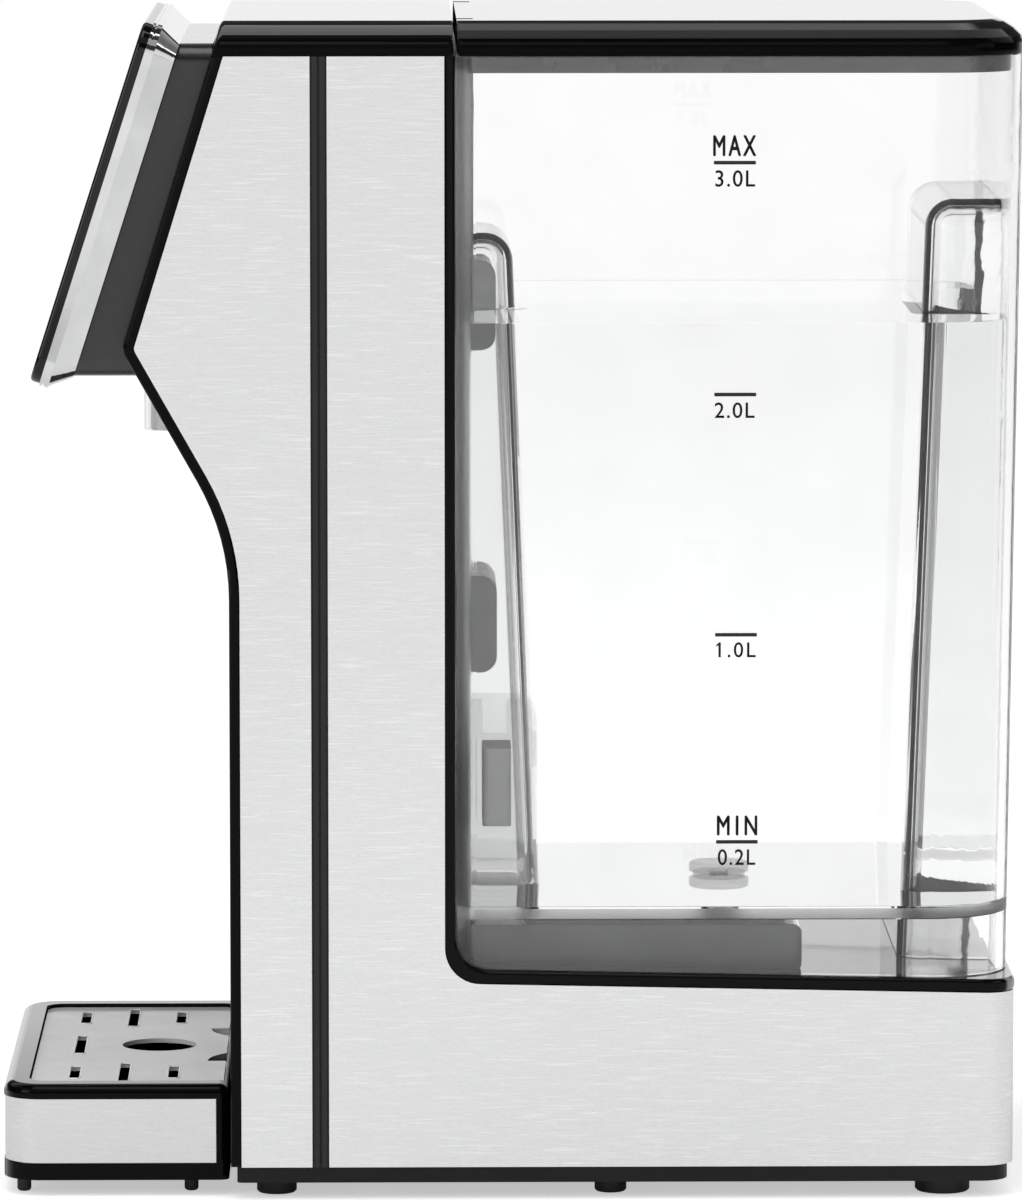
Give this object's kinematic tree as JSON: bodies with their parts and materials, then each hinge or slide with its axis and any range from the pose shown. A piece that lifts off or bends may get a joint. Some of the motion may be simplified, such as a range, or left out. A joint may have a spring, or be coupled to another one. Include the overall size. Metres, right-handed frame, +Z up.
{
  "type": "instant hot water dispenser",
  "caption": "Instant hot water dispenser: steel-clad tower with a leaning touch panel and spout over a drip tray, and a clear lift-off water tank with a hinged lid behind.",
  "frame": {"origin": "under the middle of the object, on the surface it stands on", "axes": "+Z up, front with the spout and drip tray towards -Y, +X to the right seen from the front"},
  "size_m": [0.152, 0.2672, 0.3075],
  "materials": {
    "gloss_black": "polished black moulding",
    "satin_black": "satin black moulding",
    "brushed_steel": "horizontal brushing",
    "chrome": "bright plating",
    "black_glass": "black glass touch panel",
    "clear_plastic": "clear moulded plastic",
    "grey_plastic": "dark grey moulding",
    "white_plastic": "natural moulding",
    "rubber": "moulded rubber",
    "silicone": "translucent hose",
    "steel": "plain steel",
    "ceramic": "ceramic thermostat bodies",
    "circuit_board": "green circuit board",
    "terminal_plastic": "pale insulating plastic",
    "magnet": "sintered magnet"
  },
  "bodies": {
    "root": {"base_pan": "satin_black", "body_feet": "rubber", "pan_screws": "steel", "front_fascia": "gloss_black", "front_casing_right": "gloss_black", "front_casing_left": "gloss_black", "front_roof": "gloss_black", "rear_casing_right": "gloss_black", "rear_casing_left": "gloss_black", "rear_roof": "gloss_black", "base_side_right": "gloss_black", "base_side_left": "gloss_black", "back_wall": "gloss_black", "front_panel_right": "brushed_steel", "front_panel_left": "brushed_steel", "rear_panel_right": "brushed_steel", "rear_panel_left": "brushed_steel", "tank_cradle": "gloss_black", "guide_lugs": "grey_plastic", "tank_socket": "white_plastic", "socket_seal": "rubber", "reed_switch": "terminal_plastic", "top_cover": "gloss_black", "head_housing": "satin_black", "head_bezel": "chrome", "control_glass": "black_glass", "display_board": "circuit_board", "spout_sleeve": "clear_plastic", "spout_nozzle": "steel", "spout_holder": "satin_black", "heater": "steel", "heater_caps": "white_plastic", "heater_brackets": "steel", "thermostats": "ceramic", "pump_motor": "steel", "pump_head": "white_plastic", "pump_cushion": "rubber", "inlet_hose": "silicone", "feed_hose": "silicone", "outlet_hose": "silicone", "power_board": "circuit_board", "terminal_block": "terminal_plastic", "cord_gland": "satin_black"},
    "impeller": {"pump_impeller": "white_plastic"},
    "tank": {"tank_shell": "clear_plastic", "hinge_pins": "steel", "float_cage": "clear_plastic", "valve_spring": "steel"},
    "float": {"level_float": "grey_plastic", "float_magnet": "magnet"},
    "valve": {"valve_plunger": "white_plastic", "valve_washer": "silicone"},
    "lid": {"lid_shell": "gloss_black", "lid_plug": "grey_plastic"},
    "tray": {"tray_body": "gloss_black", "tray_band": "brushed_steel", "tray_feet": "rubber"},
    "grille": {"tray_grille": "brushed_steel"}
  },
  "joints": [
    {"name": "impeller_spin", "type": "hinge", "parent": "root", "child": "impeller", "pos_m": [-0.038, 0.045, 0.031], "axis": [0, 1, 0], "continuous": true},
    {"name": "tank_lift", "type": "slide", "parent": "root", "child": "tank", "axis": [0, 0, 1], "range_m": [0, 0.08]},
    {"name": "lid_hinge", "type": "hinge", "parent": "tank", "child": "lid", "pos_m": [0, -0.01225, 0.3054], "axis": [1, 0, 0], "range_deg": [0, 95]},
    {"name": "float_slide", "type": "slide", "parent": "tank", "child": "float", "axis": [0, 0, 1], "range_m": [-0.018, 0.0012]},
    {"name": "valve_slide", "type": "slide", "parent": "tank", "child": "valve", "axis": [0, 0, 1], "range_m": [0, 0.0025], "stiffness_N_per_m": 200, "springref_m": -0.002, "deforming": ["valve_spring"]},
    {"name": "tray_slide", "type": "slide", "parent": "root", "child": "tray", "axis": [0, -1, 0], "range_m": [0, 0.06]},
    {"name": "grille_lift", "type": "slide", "parent": "tray", "child": "grille", "axis": [0, 0, 1], "range_m": [0, 0.035]}
  ]
}
